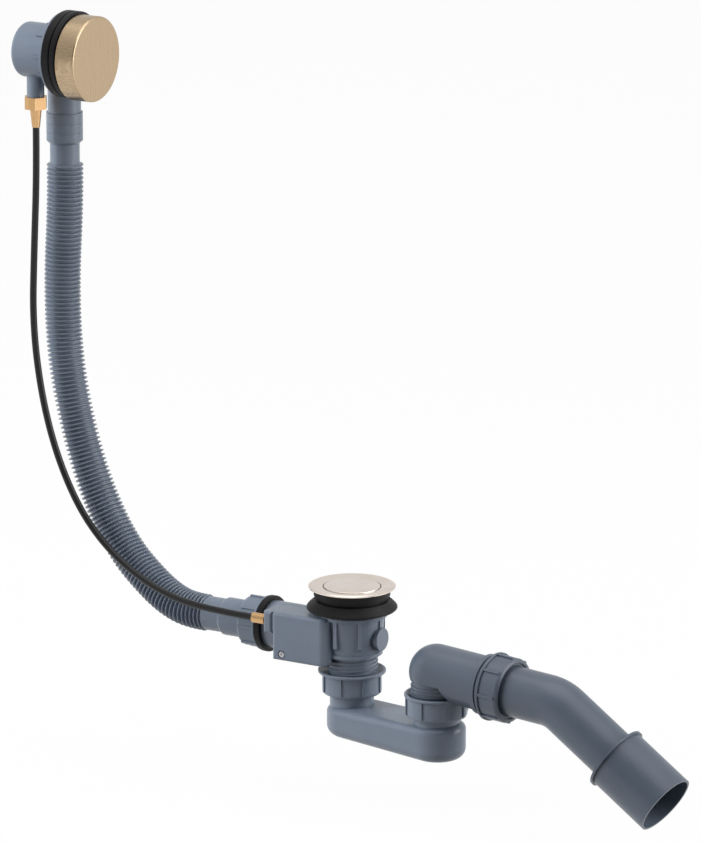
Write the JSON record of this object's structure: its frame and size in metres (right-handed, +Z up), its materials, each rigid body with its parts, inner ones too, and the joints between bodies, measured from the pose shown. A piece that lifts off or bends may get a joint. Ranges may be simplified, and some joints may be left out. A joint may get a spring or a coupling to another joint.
{
  "type": "bath waste trap with pop-up control and overflow",
  "caption": "Bath waste set with a turning overflow knob, cable-worked pop-up plug, corrugated overflow hose, low trap and swivelling outlet.",
  "frame": {"origin": "on the drain axis, in the plane where the bath floor seats on the lower seal", "axes": "+Z up along the drain axis, +X from the overflow towards the outlet, +Y away from the lever housing"},
  "size_m": [0.6208, 0.1006, 0.5791],
  "materials": {
    "grey_plastic": "moulded blue-grey plastic with a soft sheen",
    "black_rubber": "matt black rubber",
    "black_sheath": "smooth black cable sheath",
    "brass": "turned brass",
    "steel": "plain bright steel",
    "brushed_champagne": "brushed champagne metal",
    "polished_champagne": "satin champagne metal"
  },
  "bodies": {
    "waste_set": {"cable_end_cap": "grey_plastic", "cable_ferrule": "brass", "cable_gland": "brass", "cable_sheath": "black_sheath", "clamp_plate": "grey_plastic", "clamp_screws": "steel", "cuff_lower": "grey_plastic", "cuff_upper": "grey_plastic", "drain_flange": "polished_champagne", "front_seal": "black_rubber", "hose_joint_ring": "black_rubber", "hose_nut": "grey_plastic", "housing_screw": "steel", "lever_housing": "grey_plastic", "lower_seal": "black_rubber", "overflow_body": "grey_plastic", "overflow_hose": "grey_plastic", "rear_seal": "black_rubber", "side_plug": "grey_plastic", "upper_seal": "black_rubber", "waste_body": "grey_plastic", "waste_nut": "grey_plastic", "waste_washer": "black_rubber"},
    "knob": {"overflow_knob": "brushed_champagne", "overflow_spindle": "steel"},
    "wire_top": {"wire_upper": "steel"},
    "wire_bottom": {"wire_lower": "steel"},
    "rocker": {"rocker_lever": "grey_plastic"},
    "plug": {"plug": "polished_champagne", "plug_stem": "brass", "plug_seal": "black_rubber"},
    "trap": {"trap_bowl": "grey_plastic"},
    "elbow": {"outlet_elbow": "grey_plastic", "trap_nut": "grey_plastic", "trap_washer": "black_rubber", "outlet_nut": "grey_plastic", "outlet_seal": "black_rubber"},
    "outlet": {"outlet_pipe": "grey_plastic", "adapter_sleeve": "grey_plastic"}
  },
  "joints": [
    {"name": "knob_turn", "type": "hinge", "parent": "waste_set", "child": "knob", "pos_m": [-0.24, 0, 0.41], "axis": [-1, 0, 0], "range_deg": [0, 90]},
    {"name": "wire_top_slide", "type": "slide", "parent": "waste_set", "child": "wire_top", "axis": [0, 0, 1], "range_m": [0, 0.00795]},
    {"name": "wire_bottom_slide", "type": "slide", "parent": "waste_set", "child": "wire_bottom", "axis": [-1, 0, 0], "range_m": [0, 0.00795]},
    {"name": "rocker_turn", "type": "hinge", "parent": "waste_set", "child": "rocker", "pos_m": [-0.024, 0, -0.038], "axis": [0, -1, 0], "range_deg": [0, 24]},
    {"name": "plug_lift", "type": "slide", "parent": "waste_set", "child": "plug", "axis": [0, 0, 1], "range_m": [0, 0.00998]},
    {"name": "trap_swivel", "type": "hinge", "parent": "waste_set", "child": "trap", "pos_m": [0, 0, -0.07], "axis": [0, 0, 1], "range_deg": [-90, 90]},
    {"name": "elbow_swivel", "type": "hinge", "parent": "trap", "child": "elbow", "pos_m": [0.08984, -0.02074, -0.07], "axis": [0, 0, 1], "range_deg": [-60, 60]},
    {"name": "pipe_swivel", "type": "hinge", "parent": "elbow", "child": "outlet", "pos_m": [0.14961, -0.02492, -0.04364], "axis": [0.9962, -0.0697, -0.0523], "range_deg": [-90, 90]}
  ],
  "couplings": [
    {"joint": "wire_top_slide", "follows": "knob_turn", "m_per_rad": 0.0050609},
    {"joint": "wire_bottom_slide", "follows": "knob_turn", "m_per_rad": 0.0050609},
    {"joint": "rocker_turn", "follows": "knob_turn", "ratio": 0.26667},
    {"joint": "plug_lift", "follows": "knob_turn", "m_per_rad": 0.0063533}
  ]
}
